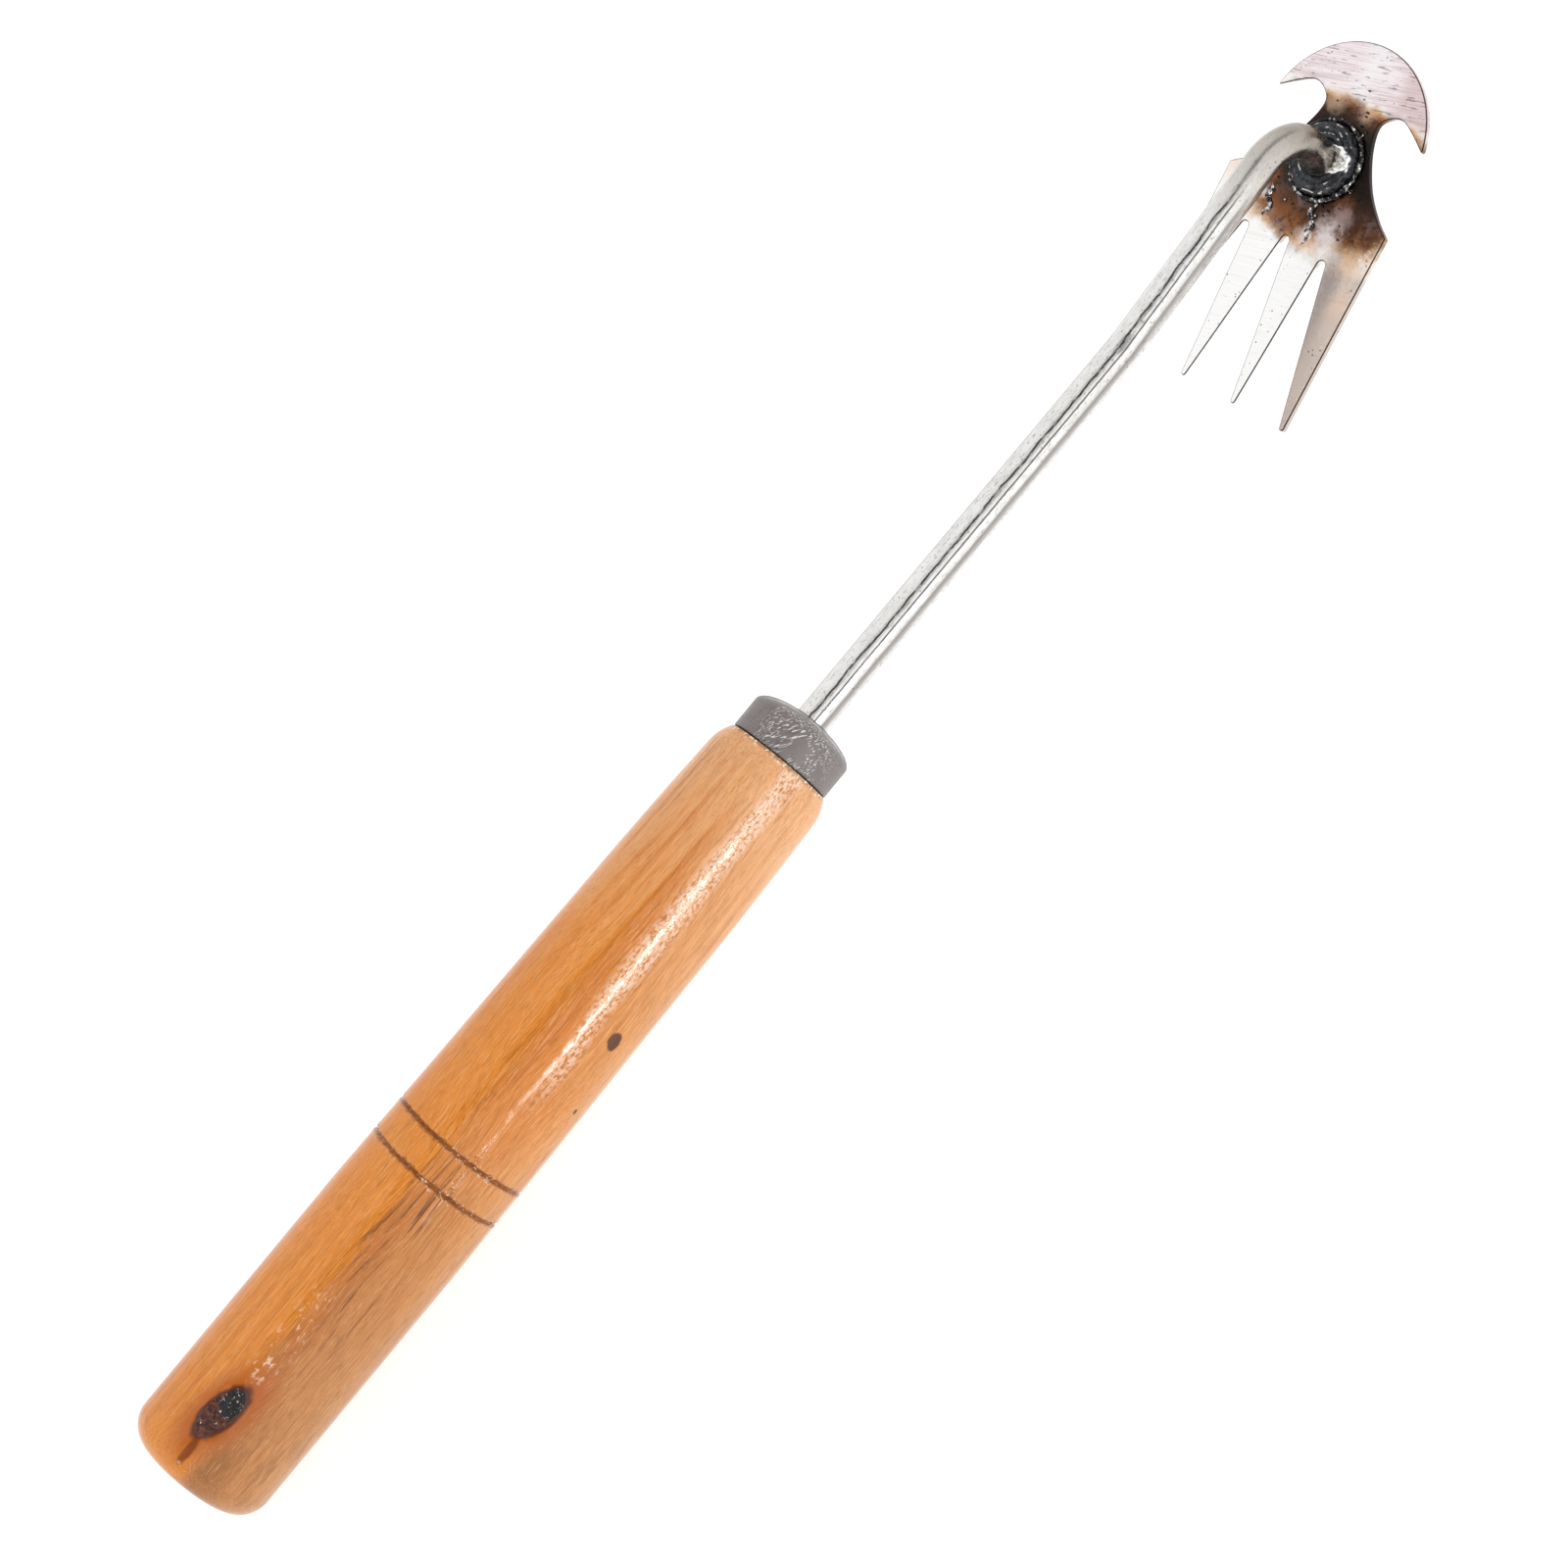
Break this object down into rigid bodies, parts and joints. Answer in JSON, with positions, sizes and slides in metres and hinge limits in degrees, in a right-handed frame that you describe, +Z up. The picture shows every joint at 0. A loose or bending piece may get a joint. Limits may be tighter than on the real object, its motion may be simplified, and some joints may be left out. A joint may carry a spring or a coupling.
{
  "type": "hand weeder",
  "caption": "Hand weeder with a turned wooden handle, a ferrule and a bent steel rod welded to a thin plate cut as a rake of pointed tines at one end and a horned crescent at the other.",
  "frame": {"origin": "centre of the bounding box at floor level, with the tool lying on its butt and its tine tips", "axes": "+X from the butt of the handle towards the blade, +Z up, and the rod's bends lie in the XZ plane"},
  "size_m": [0.3332, 0.0388, 0.037],
  "materials": {
    "varnished_wood": "turned wood under clear gloss varnish",
    "ferrule_grey": "satin grey with fine scratches",
    "set_adhesive": "set resin, hidden in the handle",
    "rod_steel": "drawn round rod with a pale zinc finish",
    "blade_stainless": "brushed stainless plate with weld heat tint",
    "weld_black": "blackened weld metal",
    "weld_bright": "rippled weld bead"
  },
  "bodies": {
    "root": {"handle_grip": "varnished_wood", "ferrule_cap": "ferrule_grey", "tang_adhesive": "set_adhesive", "shank_rod": "rod_steel", "claw_blade": "blade_stainless", "weld_pad": "weld_black", "rod_weld": "weld_bright", "pad_weld": "weld_bright", "centre_weld_run": "weld_bright", "side_weld_run": "weld_bright"}
  },
  "joints": []
}
